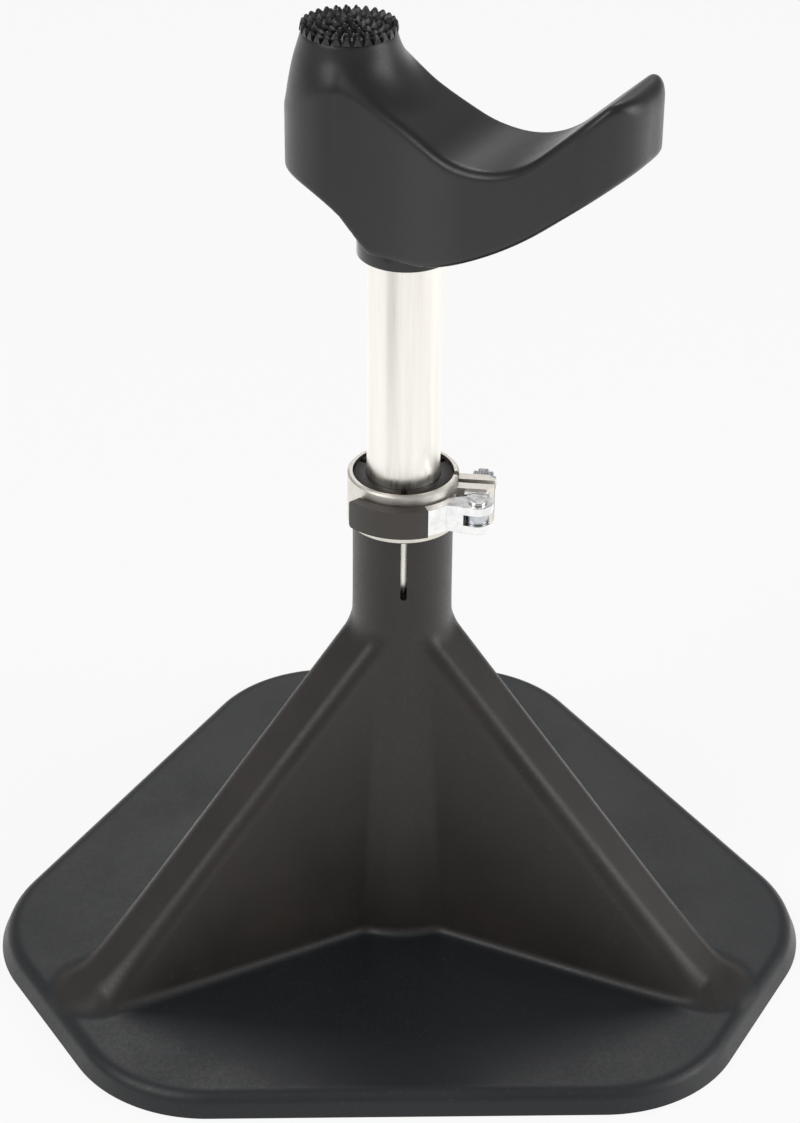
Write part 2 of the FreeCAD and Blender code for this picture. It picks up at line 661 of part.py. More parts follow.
def saddle_washer():
    """The cradle-shaped washer between the cam and the front ear."""
    half = SADDLE_WIDTH / 2
    height = LEVER_HEIGHT / 2
    plate = block(BOLT_REACH - half, min(BOLT_REACH + half, EAR_REACH - EAR_CORNER / 2),
                  -EAR_FACE - SADDLE_THICKNESS, -EAR_FACE, BOLT_Z - height, BOLT_Z + height)
    hollow = disc(HUB_RADIUS + CAM_OFFSET + RUNNING_GAP, 0, RING_TOP + LARGE, Vector(BOLT_REACH, PIN_Y, 0))
    hole = bolt_rod(BOLT_RADIUS + BOLT_HOLE_CLEARANCE, -EAR_FACE - SADDLE_THICKNESS, -EAR_FACE)
    return turned(plate.cut(Part.makeCompound([hollow, hole])), EAR_TURN)


def nut_washer():
    """The plain washer under the nut."""
    plate = bolt_rod(PLAIN_WASHER_RADIUS, EAR_FACE, nut_face())
    return turned(plate.cut(bolt_rod(BOLT_RADIUS + BOLT_HOLE_CLEARANCE, EAR_FACE, nut_face())), EAR_TURN)


def adjusting_nut():
    """The fluted thumb nut that sets the clamp's pull."""
    low = nut_face() + RUNNING_GAP
    high = low + NUT_HEIGHT
    nut = bolt_rod(NUT_RADIUS, low, high)
    flutes = []
    for index in range(NUT_FLUTE_COUNT):
        turn = math.radians(index * FULL_TURN / NUT_FLUTE_COUNT)
        place = Vector(BOLT_REACH + NUT_RADIUS * math.cos(turn), low, BOLT_Z + NUT_RADIUS * math.sin(turn))
        flutes.append(Part.makeCylinder(NUT_FLUTE_RADIUS, NUT_HEIGHT, place, Vector(0, 1, 0)))
    bore = bolt_rod(BOLT_RADIUS + SHAFT_CLEARANCE, low, high)
    return turned(nut.cut(Part.makeCompound(flutes + [bore])), EAR_TURN)


def lever_core(extra):
    """The steel strip inside the grip, or the pocket that it fills."""
    middle = (LEVER_INNER + LEVER_OUTER) / 2
    half = CORE_THICKNESS / 2
    tip = GRIP_END + CORE_SHORT
    return sector(middle - half, middle + half, GRIP_START + extra, tip,
                  BOLT_Z - CORE_HEIGHT / 2, BOLT_Z + CORE_HEIGHT / 2)


def clamp_lever():
    """The polished lever: a forked cam hub, a curved arm and the strip that carries the grip."""
    low = BOLT_Z - LEVER_HEIGHT / 2
    high = BOLT_Z + LEVER_HEIGHT / 2
    pin = Vector(BOLT_REACH, PIN_Y, 0)
    hub = disc(HUB_RADIUS, low, high, Vector(BOLT_REACH, PIN_Y + CAM_OFFSET, 0))
    arm = sector(LEVER_INNER, LEVER_OUTER, LEVER_ARM_START, GRIP_START, low, high)
    near = polar(LEVER_INNER, LEVER_ARM_START, low)
    far = polar(LEVER_OUTER, LEVER_LINK_END, low)
    link = [near, Vector(BOLT_REACH - HUB_RADIUS / 2, PIN_Y + HUB_RADIUS * LEVER_LINK_SHARE, low),
            Vector(BOLT_REACH, PIN_Y - HUB_RADIUS + CAM_OFFSET, low), far]
    bridge = Part.Face(Part.makePolygon(link + link[:1])).extrude(Vector(0, 0, LEVER_HEIGHT))
    body = hub.multiFuse([arm, bridge])
    slot = block(BOLT_REACH - FORK_SLOT_DEPTH, BOLT_REACH + LARGE, PIN_Y - LARGE, PIN_Y + HUB_RADIUS * 2,
                 BOLT_Z - FORK_SLOT / 2, BOLT_Z + FORK_SLOT / 2)
    cuts = [slot, disc(PIN_RADIUS, low, high, pin)]
    body = body.cut(Part.makeCompound(cuts)).fuse(lever_core(GRIP_EXTRA))
    return turned(body, EAR_TURN)


def lever_grip():
    """The sleeve grip that tapers towards the lever's free end."""
    inner = LEVER_INNER - GRIP_EXTRA / 2
    outer = LEVER_OUTER + GRIP_EXTRA
    half = GRIP_HEIGHT / 2
    body = sector(inner, outer, GRIP_START, GRIP_END, BOLT_Z - half, BOLT_Z + half)
    tip = edges_where(body, lambda edge, middle: edge.Length < outer - inner + 1
                      and middle.y > polar(outer, GRIP_END).y - 1 and middle.x < 0)
    body = body.makeFillet(GRIP_CORNER, tip)
    return turned(body.cut(lever_core(0.0)), EAR_TURN)


def pivot_pin():
    """The headed pin through the fork and the bolt's eye."""
    centre = Vector(BOLT_REACH, PIN_Y, 0)
    low = BOLT_Z - LEVER_HEIGHT / 2
    high = BOLT_Z + LEVER_HEIGHT / 2
    head = disc(PIN_HEAD_RADIUS, high, high + PIN_HEAD_HEIGHT, centre)
    top = edges_where(head, lambda edge, middle: middle.z > high + PIN_HEAD_HEIGHT / 2)
    head = head.makeChamfer(PIN_HEAD_HEIGHT / 3, [edge for edge in top if edge.Length > PIN_HEAD_RADIUS])
    tail = disc(PIN_HEAD_RADIUS, low - PIN_HEAD_HEIGHT, low, centre)
    return turned(disc(PIN_RADIUS, low, high, centre).multiFuse([head, tail]), EAR_TURN)


def locating_screw():
    """The small screw that keeps the ring in place on the neck."""
    height = RING_TOP - SCREW_BELOW_RING_TOP
    shank = Part.makeCylinder(SCREW_RADIUS, RING_OUTER + SCREW_HEAD_HEIGHT - NECK_RADIUS + SCREW_BITE,
                              Vector(NECK_RADIUS - SCREW_BITE, 0, height), Vector(1, 0, 0))
    head = Part.makeCylinder(SCREW_HEAD_RADIUS, SCREW_HEAD_HEIGHT * 2,
                             Vector(RING_OUTER - SCREW_HEAD_HEIGHT, 0, height), Vector(1, 0, 0))
    return turned(shank.fuse(head), SCREW_TURN)


PIECES = {
    "base_moulding": base_moulding,
    "post_tube": post_tube,
    "tube_end_plug": tube_end_plug,
    "swivel_bushing": swivel_bushing,
    "spindle": spindle,
    "spindle_anchor": spindle_anchor,
    "thrust_washer": thrust_washer,
    "spindle_circlip": spindle_circlip,
    "head_moulding": head_moulding,
    "grip_studs": grip_studs,
    "clamp_ring": clamp_ring,
    "clamp_bolt": clamp_bolt,
    "saddle_washer": saddle_washer,
    "nut_washer": nut_washer,
    "adjusting_nut": adjusting_nut,
    "clamp_lever": clamp_lever,
    "lever_grip": lever_grip,
    "pivot_pin": pivot_pin,
    "locating_screw": locating_screw,
}


def main():
    """Build every piece and write it to its own file."""
    os.makedirs("parts", exist_ok=True)
    for name, build in PIECES.items():
        shape = build()
        shape.exportStep(os.path.join("parts", name + ".step"))
        box = shape.BoundBox
        print(name, "solids", len(shape.Solids), "valid", shape.isValid(), "volume", round(shape.Volume),
              "z", round(box.ZMin, 1), round(box.ZMax, 1))


main()
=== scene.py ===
"""Dress the hoof trimming stand around its packed construction model.

The stand is a heavy moulded rubber base with three ribs, a drawn aluminium post held by a quick clamp,
and a rubber head that swivels on a glossy collar. Every length below is in millimetres until a mesh is
written, where it becomes metres in the frame's own coordinates: the origin is on the post's axis at the
floor, and -Y is the front.
"""

import logging
import math
import random
from dataclasses import dataclass
from enum import Enum
from typing import Callable

import bmesh
import bpy
import numpy as np
from mathutils import Matrix, Vector


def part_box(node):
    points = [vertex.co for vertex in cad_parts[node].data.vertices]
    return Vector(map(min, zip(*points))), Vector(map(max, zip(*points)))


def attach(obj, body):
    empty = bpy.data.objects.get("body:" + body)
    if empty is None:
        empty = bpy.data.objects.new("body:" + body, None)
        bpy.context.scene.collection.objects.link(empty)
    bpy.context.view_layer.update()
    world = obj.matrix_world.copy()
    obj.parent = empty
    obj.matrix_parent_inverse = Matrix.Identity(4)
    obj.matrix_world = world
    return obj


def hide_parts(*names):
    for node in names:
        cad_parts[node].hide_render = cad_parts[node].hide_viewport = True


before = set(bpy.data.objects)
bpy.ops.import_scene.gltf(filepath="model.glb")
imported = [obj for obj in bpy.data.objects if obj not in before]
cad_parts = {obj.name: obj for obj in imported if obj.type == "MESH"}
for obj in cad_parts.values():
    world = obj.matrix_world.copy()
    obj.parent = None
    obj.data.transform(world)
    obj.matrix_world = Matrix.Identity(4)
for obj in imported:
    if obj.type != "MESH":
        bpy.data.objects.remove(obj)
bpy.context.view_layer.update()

LOG = logging.getLogger("hoof_stand")
MM = 0.001
CREASE = 32.0
SAME_PLACE = 0.004
FLAT_ANGLE = 0.6
ROUND_STEPS = 4
CUT_TURNS = 96
PATCH_SPAN = (0.32, 0.68)
UNEVEN_SPAN = (0.7, 1.3)
SPECK_SPAN = (0.66, 0.76)
PATCH_FINER = (3.0, 0.55)
GRAIN_FINER = (2.0, 0.6)
SPECK_FINER = (1.0, 0.5)
Field = Callable[[np.ndarray, np.ndarray, np.ndarray], np.ndarray]
Socket = bpy.types.NodeSocket
Points = list[tuple[float, float]]
Pairs = tuple[tuple[float, float], ...]


class Body(Enum):
    """The rigid bodies of the frame."""

    BASE = "base"
    POST = "post"
    HEAD = "head"
    LEVER = "lever"
    NUT = "nut"


class Slot(Enum):
    """The record's material slots."""

    BASE_RUBBER = "base_rubber"
    HEAD_RUBBER = "head_rubber"
    POST_STEEL = "post_steel"
    COLLAR_PLASTIC = "collar_plastic"
    PLUG_PLASTIC = "plug_plastic"
    WASHER_PLASTIC = "washer_plastic"
    RING_ALUMINIUM = "ring_aluminium"
    LEVER_STEEL = "lever_steel"
    ZINC_STEEL = "zinc_steel"
    GRIP_RUBBER = "grip_rubber"


# Colours and shader nodes


def linear(hex_colour: str) -> tuple[float, float, float, float]:
    """Turn an sRGB hex colour into linear light.

    Args:
        hex_colour: Six hex digits, such as "2b2825".

    Returns:
        Red, green, blue and an alpha of 1.
    """
    channels = []
    for start in (0, 2, 4):
        value = int(hex_colour[start:start + 2], 16) / 255
        channels.append(value / 12.92 if value <= 0.04045 else ((value + 0.055) / 1.055) ** 2.4)
    return (*channels, 1.0)


def add_node(tree: bpy.types.NodeTree, kind: str, settings: dict | None = None,
             links: dict | None = None) -> bpy.types.Node:
    """Add one shader node with its settings and links.

    Args:
        tree: The node tree that gets the node.
        kind: The node's type name without its "ShaderNode".
        settings: Values by attribute name, or by input name where the node has no such attribute.
        links: Output sockets by input name or input number.

    Returns:
        The new node.
    """
    node = tree.nodes.new("ShaderNode" + kind)
    for name, value in (settings or {}).items():
        if isinstance(name, str) and hasattr(node, name):
            setattr(node, name, value)
        else:
            node.inputs[name].default_value = value
    for name, socket in (links or {}).items():
        tree.links.new(socket, node.inputs[name])
    return node


def ramp(tree: bpy.types.NodeTree, value: Socket, span: tuple[float, float] = (0.0, 1.0),
         reach: tuple[float, float] = (0.0, 1.0), soft: bool = False) -> Socket:
    """Turn one span of values into another.

    Args:
        tree: The tree.
        value: The value that is looked at.
        span: Where it starts and ends.
        reach: What comes out at the start and the end.
        soft: Whether the change eases in and out.

    Returns:
        The new value.
    """
    return add_node(tree, "MapRange",
                    {"interpolation_type": "SMOOTHSTEP" if soft else "LINEAR", "From Min": span[0],
                     "From Max": span[1], "To Min": reach[0], "To Max": reach[1]},
                    {"Value": value}).outputs["Result"]


def combined(tree: bpy.types.NodeTree, operation: str, first: Socket, second: Socket | float) -> Socket:
    """Work out one number from two.

    Args:
        tree: The tree.
        operation: The operation's name.
        first: The first number's socket.
        second: The second number, or its socket.

    Returns:
        The result.
    """
    settings, links = {"operation": operation}, {0: first}
    (settings if isinstance(second, float) else links)[1] = second
    return add_node(tree, "Math", settings, links).outputs[0]


def blended(tree: bpy.types.NodeTree, share: Socket, first: Socket | str, second: Socket | str) -> Socket:
    """Mix two colours.

    Args:
        tree: The tree.
        share: How much of the second colour there is.
        first: The first colour's socket, or its sRGB hex.
        second: The second colour's socket, or its sRGB hex.

    Returns:
        The mixed colour.
    """
    settings, links = {"data_type": "RGBA"}, {0: share}
    for place, colour in ((6, first), (7, second)):
        if isinstance(colour, str):
            settings[place] = linear(colour)
        else:
            links[place] = colour
    return add_node(tree, "Mix", settings, links).outputs[2]


@dataclass(frozen=True)
class Finish:
    """One finish: what the surface is made of and how it was made.

    Sizes of patterns are real lengths in millimetres.
    """

    name: str
    colour: str
    shade: str
    roughness: float
    roughness_spread: float = 0.06
    metallic: float = 0.0
    ior: float = 1.5
    specular: float = 0.5
    patch_size: float = 30.0
    grain_size: float = 1.2
    grain_height: float = 0.02
    stretch: tuple[float, float, float] = (1.0, 1.0, 1.0)
    speck_colour: str = ""
    speck_size: float = 1.5
    speck_share: float = 0.0
    # Painted shade and cool light: a darker, cooler colour below the given height, and how far it fades
    painted_plate_shade: str = ""
    painted_shade_top: float = 12.0
    painted_shade_fade: float = 3.0

    def material(self) -> bpy.types.Material:
        """Build the material once and hand out the same one after that.

        Returns:
            The procedural material.
        """
        known = bpy.data.materials.get(self.name)
        if known:
            return known
        material = bpy.data.materials.new(self.name)
        material.use_nodes = True
        tree = material.node_tree
        tree.nodes.clear()
        place = add_node(tree, "TexCoord").outputs["Object"]
        stretched = add_node(tree, "VectorMath",
                             {"operation": "MULTIPLY", 1: self.stretch}, {0: place}).outputs["Vector"]
        patches = self._noise(tree, stretched, self.patch_size, PATCH_FINER)
        grain = self._noise(tree, stretched, self.grain_size, GRAIN_FINER)
        colour = blended(tree, ramp(tree, patches, PATCH_SPAN), self.shade, self.colour)
        # Painted shade and cool light: below the given height the colour turns darker and cooler
        if self.painted_plate_shade:
            height = add_node(tree, "SeparateXYZ", {}, {0: place}).outputs["Z"]
            span = (self.painted_shade_top * MM, (self.painted_shade_top + self.painted_shade_fade) * MM)
            colour = blended(tree, ramp(tree, height, span, soft=True), self.painted_plate_shade, colour)
        if self.speck_share:
            specks = self._noise(tree, place, self.speck_size, SPECK_FINER)
            specks = ramp(tree, specks, SPECK_SPAN, (0.0, self.speck_share))
            colour = blended(tree, specks, colour, self.speck_colour)
        smoothest, roughest = self.roughness - self.roughness_spread, self.roughness + self.roughness_spread
        roughness = ramp(tree, combined(tree, "ADD", patches, grain), UNEVEN_SPAN, (smoothest, roughest))
        bump = add_node(tree, "Bump",
                        {"Strength": 1.0, "Distance": self.grain_height * MM},
                        {"Height": grain}).outputs["Normal"]
        shader = add_node(tree, "BsdfPrincipled",
                          {"Metallic": self.metallic, "IOR": self.ior, "Specular IOR Level": self.specular},
                          {"Base Color": colour, "Roughness": roughness, "Normal": bump})
        add_node(tree, "OutputMaterial", {}, {"Surface": shader.outputs["BSDF"]})
        return material

    @staticmethod
    def _noise(tree: bpy.types.NodeTree, place: Socket, size: float, finer: tuple[float, float]) -> Socket:
        """Add an uneven pattern of a real size.

        Args:
            tree: The tree.
            place: The coordinates that it follows.
            size: Its size in millimetres.
            finer: How many finer patterns it holds, and how strong they are.

        Returns:
            The pattern's values.
        """
        settings = {"Scale": 1 / (size * MM), "Detail": finer[0], "Roughness": finer[1]}
        return add_node(tree, "TexNoise", settings, {"Vector": place}).outputs["Fac"]


# Compression-moulded natural rubber with carbon black: satin and brown on the ribs and column. Below
# the ribs' foot a darker, cooler black is painted on the plate: painted shade and cool overhead light
BASE_RUBBER = Finish("moulded_rubber_base", colour="2c2622", shade="211d1a", roughness=0.46,
                     roughness_spread=0.07, ior=1.52, patch_size=46.0, grain_size=1.6, grain_height=0.03,
                     speck_colour="4a4642", speck_size=2.4, speck_share=0.25,
                     painted_plate_shade="1b1d20", painted_shade_top=12.2, painted_shade_fade=3.0)
# The same rubber in a cleaner, more neutral black for the head
HEAD_RUBBER = Finish("moulded_rubber_head", colour="191919", shade="131313", roughness=0.4,
                     roughness_spread=0.06, ior=1.52, patch_size=34.0, grain_size=1.3, grain_height=0.02,
                     speck_colour="3a3a3a", speck_size=2.0, speck_share=0.2)
# Drawn aluminium tube: bright, with faint drawing lines along its length
DRAWN_ALUMINIUM = Finish("drawn_aluminium_post", colour="e9e6e0", shade="d6d2cb", roughness=0.3,
                         roughness_spread=0.08, metallic=1.0, patch_size=9.0, grain_size=0.9,
                         grain_height=0.006, stretch=(1.0, 1.0, 0.03))
# Injection-moulded acetal: black and glossy, the only shiny black piece
GLOSSY_ACETAL = Finish("moulded_black_acetal", colour="0d0d0e", shade="090909", roughness=0.14,
                       roughness_spread=0.03, ior=1.48, patch_size=20.0, grain_size=3.0, grain_height=0.002)
# The same plastic with the mould's matt face, on the plug that stays out of sight
MATT_ACETAL = Finish("moulded_matt_acetal", colour="171717", shade="101010", roughness=0.5, ior=1.48,
                     patch_size=20.0, grain_size=1.0, grain_height=0.01)
# Natural acetal washer: milky white and slippery
WHITE_ACETAL = Finish("turned_white_acetal", colour="d9d5cb", shade="cdc8bd", roughness=0.35, ior=1.48,
                      patch_size=12.0, grain_size=0.8, grain_height=0.006)
# Extruded and tumbled aluminium ring: pale grey, satin, with a fine even grain
TUMBLED_ALUMINIUM = Finish("tumbled_aluminium_ring", colour="dedad3", shade="cbc7c0", roughness=0.48,
                           roughness_spread=0.07, metallic=1.0, patch_size=7.0, grain_size=0.7,
                           grain_height=0.012)
# Polished steel of the lever, pin and saddle washer: nearly a mirror, with hazy patches
POLISHED_STEEL = Finish("polished_steel_lever", colour="e4e4e3", shade="d2d2d2", roughness=0.2,
                        roughness_spread=0.07, metallic=1.0, patch_size=5.0, grain_size=0.6,
                        grain_height=0.005)
# Zinc-plated steel of the bolt, nut and spindle: cool grey with a slight spangle
ZINC_PLATE = Finish("zinc_plated_steel", colour="c3c6ca", shade="a9adb3", roughness=0.32,
                    roughness_spread=0.08, metallic=1.0, patch_size=3.0, grain_size=0.5,
                    grain_height=0.008)
# Dipped vinyl sleeve on the lever: dark brown-grey and satin
DIPPED_VINYL = Finish("dipped_vinyl_grip", colour="47413b", shade="3c3732", roughness=0.45,
                      roughness_spread=0.05, ior=1.53, patch_size=18.0, grain_size=1.0,
                      grain_height=0.01)


# Shapes as distance fields, for the soft moulded forms


def round_corner(first: np.ndarray, second: np.ndarray, radius: float | np.ndarray) -> np.ndarray:
    """Keep what is inside both fields, with the edge between them rounded.

    With all distances turned round, it joins two shapes with a fillet.

    Args:
        first: Distances outside the first shape.
        second: Distances outside the second shape.
        radius: The edge's radius.

    Returns:
        Distances outside the rounded common part.
    """
    outside = np.hypot(np.maximum(first + radius, 0), np.maximum(second + radius, 0))
    return np.minimum(-radius, np.maximum(first, second)) + outside


def round_tip(first: np.ndarray, second: np.ndarray, radius: float, cosine: np.ndarray) -> np.ndarray:
    """Keep what is inside both fields, with a true round where they meet at any angle.

    Args:
        first: Distances outside the first shape.
        second: Distances outside the second shape.
        radius: The edge's radius.
        cosine: The cosine of the angle between the two surfaces' outward directions.

    Returns:
        Distances outside the rounded common part.
    """
    reach_first, reach_second = first + radius, second + radius
    at_edge = (reach_first > reach_second * cosine) & (reach_second > reach_first * cosine)
    square = reach_first ** 2 + reach_second ** 2 - 2 * reach_first * reach_second * cosine
    outside = np.sqrt(np.maximum(square, 0)) / np.sqrt(1 - cosine ** 2) - radius
    return np.where(at_edge, outside, np.maximum(first, second))


def soft_join(first: np.ndarray, second: np.ndarray, reach: float) -> np.ndarray:
    """Join two shapes with a soft hollow between them.

    Args:
        first: Distances outside the first shape.
        second: Distances outside the second shape.
        reach: How far from the seam the blend starts.

    Returns:
        Distances outside the joined shape.
    """
    share = np.clip(0.5 + 0.5 * (second - first) / reach, 0, 1)
    return second + (first - second) * share - reach * share * (1 - share)


def outside_polygon(x: np.ndarray, y: np.ndarray, corners: Points) -> np.ndarray:
    """How far places are outside a polygon that bulges everywhere.

    Args:
        x: Places along +X.
        y: Places along +Y.
        corners: Its corners, counter-clockwise.

    Returns:
        Distances, negative inside.
    """
    nearest = np.full_like(x + y, np.inf)
    inside = np.ones_like(nearest, bool)
    for index, (start_x, start_y) in enumerate(corners):
        end_x, end_y = corners[(index + 1) % len(corners)]
        run_x, run_y = end_x - start_x, end_y - start_y
        off_x, off_y = x - start_x, y - start_y
        share = np.clip((off_x * run_x + off_y * run_y) / (run_x ** 2 + run_y ** 2), 0, 1)
        nearest = np.minimum(nearest, np.hypot(off_x - share * run_x, off_y - share * run_y))
        inside &= run_x * off_y > run_y * off_x
    return np.where(inside, -nearest, nearest)


def bowed_line(run: np.ndarray, bends: Pairs) -> np.ndarray:
    """How far a line has risen that starts level, bends upwards and then stays straight.

    Args:
        run: Distances along the level from where the first bend starts.
        bends: The radius of each bend and the slope in degrees that it ends with.

    Returns:
        The rise at each distance, 0 before the first bend.
    """
    rise = np.zeros_like(run)
    start, slope = 0.0, 0.0
    for radius, degrees in bends:
        last = math.radians(degrees)
        end = start + radius * (math.sin(last) - math.sin(slope))
        turned = math.sin(slope) + (np.clip(run, start, end) - start) / radius
        rise = rise + radius * (math.cos(slope) - np.sqrt(1 - turned ** 2))
        start, slope = end, last
    return rise + np.maximum(run - start, 0) * math.tan(slope)


def softly_positive(value: np.ndarray, reach: float) -> np.ndarray:
    """Raise what is below zero to zero, with a soft bend.

    Args:
        value: Any values.
        reach: How far from zero the bend starts.

    Returns:
        Values above zero.
    """
    return (value + np.hypot(value, reach)) / 2


@dataclass
class SurfaceNet:
    """Turns a distance field into a smooth mesh of quads.

    The axes are the grid's places along x, y and z.
    """

    field: Field
    axes: list[np.ndarray]
    nudge: float = 0.15
    pulls: int = 3
    pull_share: float = 0.8
    least_steep: float = 0.25

    def mesh(self, name: str) -> bpy.types.Mesh:
        """Lay a quad across each grid edge that the surface crosses.

        Args:
            name: The mesh's name.

        Returns:
            The mesh, in metres.
        """
        x, y, z = self.axes
        values = self.field(x[:, None, None], y[None, :, None], z[None, None, :])
        values = np.broadcast_to(values, (len(x), len(y), len(z)))
        cells = (len(x) - 1, len(y) - 1, len(z) - 1)
        corners, points = [], []
        for axis in range(3):
            low = np.moveaxis(values, axis, 0)[:-1]
            high = np.moveaxis(values, axis, 0)[1:]
            found = np.argwhere((low < 0) != (high < 0))
            found = found[(found[:, 1] > 0) & (found[:, 2] > 0)]
            picked = tuple(found.T)
            share = low[picked] / (low[picked] - high[picked])
            rising = low[picked] < 0
            order = [axis] + [other for other in range(3) if other != axis]
            place = np.empty((len(found), 3))
            grid = np.empty((len(found), 3), int)
            for column, target in enumerate(order):
                grid[:, target] = found[:, column]
                place[:, target] = self.axes[target][found[:, column]]
            place[:, axis] += share * np.diff(self.axes[axis])[found[:, 0]]
            if axis == 1:
                rising = ~rising
            quad = []
            for first, second in ((0, 0), (1, 0), (1, 1), (0, 1)):
                shifted = grid.copy()
                shifted[:, order[1]] -= first
                shifted[:, order[2]] -= second
                quad.append(np.ravel_multi_index(tuple(shifted.T), cells, mode="clip"))
            quad = np.stack(quad, axis=1)
            quad[~rising] = quad[~rising][:, ::-1]
            corners.append(quad)
            points.append(np.repeat(place[:, None, :], 4, axis=1))
        corners = np.concatenate(corners)
        points = np.concatenate(points).reshape(-1, 3)
        kept, owner = np.unique(corners.reshape(-1), return_inverse=True)
        counts = np.bincount(owner)
        vertices = np.stack([np.bincount(owner, points[:, i]) / counts for i in range(3)], axis=1)
        vertices = self._drawn_in(vertices)
        mesh = bpy.data.meshes.new(name)
        mesh.from_pydata((vertices * MM).tolist(), [], owner.reshape(-1, 4).tolist())
        mesh.validate()
        return mesh

    def _drawn_in(self, vertices: np.ndarray) -> np.ndarray:
        """Move the vertices onto the true surface.

        Args:
            vertices: Places near the surface.

        Returns:
            Places on it.
        """
        for _ in range(self.pulls):
            here = self.field(*vertices.T)
            slope = np.stack([self.field(*(vertices + step).T) - self.field(*(vertices - step).T)
                              for step in np.eye(3) * self.nudge], axis=1) / (2 * self.nudge)
            steep = np.maximum((slope ** 2).sum(axis=1), self.least_steep)
            vertices = vertices - (here / steep)[:, None] * slope * self.pull_share
        return vertices


# Mesh helpers


def lathe(name: str, profile: Points, turns: int = 144) -> bpy.types.Mesh:
    """Turn a closed (radius, height) outline about the post's axis.

    Args:
        name: The mesh's name.
        profile: The outline's corners in millimetres.
        turns: How many steps one turn has.

    Returns:
        The mesh, in metres.
    """
    mesh = bpy.data.meshes.new(name)
    vertices, faces = [], []
    count = len(profile)
    for step in range(turns):
        angle = 2 * math.pi * step / turns
        following = (step + 1) % turns
        for corner, (radius, height) in enumerate(profile):
            vertices.append((radius * math.cos(angle) * MM, radius * math.sin(angle) * MM, height * MM))
            after = (corner + 1) % count
            faces.append((step * count + corner, following * count + corner,
                          following * count + after, step * count + after))
    mesh.from_pydata(vertices, [], faces)
    tidy_normals(mesh)
    return mesh


def tidy_normals(mesh: bpy.types.Mesh, crease: float = CREASE) -> None:
    """Point the faces outwards and shade them smooth, with creases at sharp edges.

    Args:
        mesh: The mesh to tidy.
        crease: The angle in degrees from which an edge stays sharp.
    """
    shell = bmesh.new()
    shell.from_mesh(mesh)
    bmesh.ops.recalc_face_normals(shell, faces=shell.faces)
    for face in shell.faces:
        face.smooth = True
    limit = math.radians(crease)
    for edge in shell.edges:
        edge.smooth = not (len(edge.link_faces) == 2 and edge.calc_face_angle(0) > limit)
    shell.to_mesh(mesh)
    shell.free()


def rounded_profile(corners: list[tuple[float, float, float]]) -> Points:
    """Round the corners of a closed (radius, height) outline.

    Args:
        corners: Radius, height and rounding of each corner.

    Returns:
        The outline's points.
    """
    points = []
    count = len(corners)
    for index, (radius, height, rounding) in enumerate(corners):
        here = Vector((radius, height))
        if rounding <= 0:
            points.append(tuple(here))
            continue
        before = (Vector(corners[index - 1][:2]) - here).normalized()
        after = (Vector(corners[(index + 1) % count][:2]) - here).normalized()
        half = before.angle(after) / 2
        reach = rounding / math.tan(half)
        centre = here + (before + after).normalized() * (rounding / math.sin(half))
        start = here + before * reach - centre
        end = here + after * reach - centre
        for step in range(ROUND_STEPS + 1):
            share = step / ROUND_STEPS
            mixed = (start * (1 - share) + end * share).normalized() * rounding
            points.append(tuple(centre + mixed))
    return points


def show(mesh: bpy.types.Mesh, finish: Finish, body: Body, nodes: list[str]) -> bpy.types.Object:
    """Put a finished mesh in the scene, riding on its body in place of its construction nodes.

    Args:
        mesh: The finished mesh, whose name the piece takes.
        finish: The surface's finish.
        body: The body that carries the piece.
        nodes: The construction nodes that it stands for.

    Returns:
        The new object.
    """
    mesh.materials.clear()
    mesh.materials.append(finish.material())
    piece = bpy.data.objects.new(mesh.name, mesh)
    bpy.context.scene.collection.objects.link(piece)
    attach(piece, body.value)
    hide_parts(*nodes)
    LOG.info("%s rides on %s with %d faces", piece.name, body.value, len(mesh.polygons))
    return piece


def applied(piece: bpy.types.Object) -> None:
    """Turn an object's modifiers into mesh.

    Args:
        piece: The object whose modifiers are made permanent.
    """
    bpy.context.view_layer.update()
    graph = bpy.context.evaluated_depsgraph_get()
    finished = bpy.data.meshes.new_from_object(piece.evaluated_get(graph))
    finished.name = piece.data.name + "_finished"
    piece.modifiers.clear()
    piece.data = finished


def cut_with(piece: bpy.types.Object, cutter_mesh: bpy.types.Mesh) -> None:
    """Cut a closed form out of a piece.

    Args:
        piece: The piece that is cut.
        cutter_mesh: The form that goes.
    """
    cutter = bpy.data.objects.new(cutter_mesh.name, cutter_mesh)
    bpy.context.scene.collection.objects.link(cutter)
    cut = piece.modifiers.new("cut", "BOOLEAN")
    cut.operation = "DIFFERENCE"
    cut.solver = "EXACT"
    cut.object = cutter
    applied(piece)
    bpy.data.objects.remove(cutter)


def edge_softened(node: str, name: str, finish: Finish, body: Body, width: float) -> None:
    """Stand in for a machined node with the same form, its sharp edges broken.

    Args:
        node: The construction node whose form is kept.
        name: The new piece's name.
        finish: Its finish.
        body: The body that carries it.
        width: How wide the broken edges are.
    """
    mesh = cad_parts[node].data.copy()
    mesh.name = name
    shell = bmesh.new()
    shell.from_mesh(mesh)
    bmesh.ops.remove_doubles(shell, verts=shell.verts, dist=SAME_PLACE * MM)
    bmesh.ops.dissolve_limit(shell, angle_limit=math.radians(FLAT_ANGLE), verts=shell.verts,
                             edges=shell.edges)
    shell.to_mesh(mesh)
    shell.free()
    tidy_normals(mesh)
    piece = show(mesh, finish, body, [node])
    bevel = piece.modifiers.new("broken_edges", "BEVEL")
    bevel.width = width * MM
    bevel.segments = 2
    bevel.limit_method = "ANGLE"
    bevel.angle_limit = math.radians(CREASE)
    bevel.use_clamp_overlap = True
    bevel.harden_normals = True
    applied(piece)


# Sub-assemblies


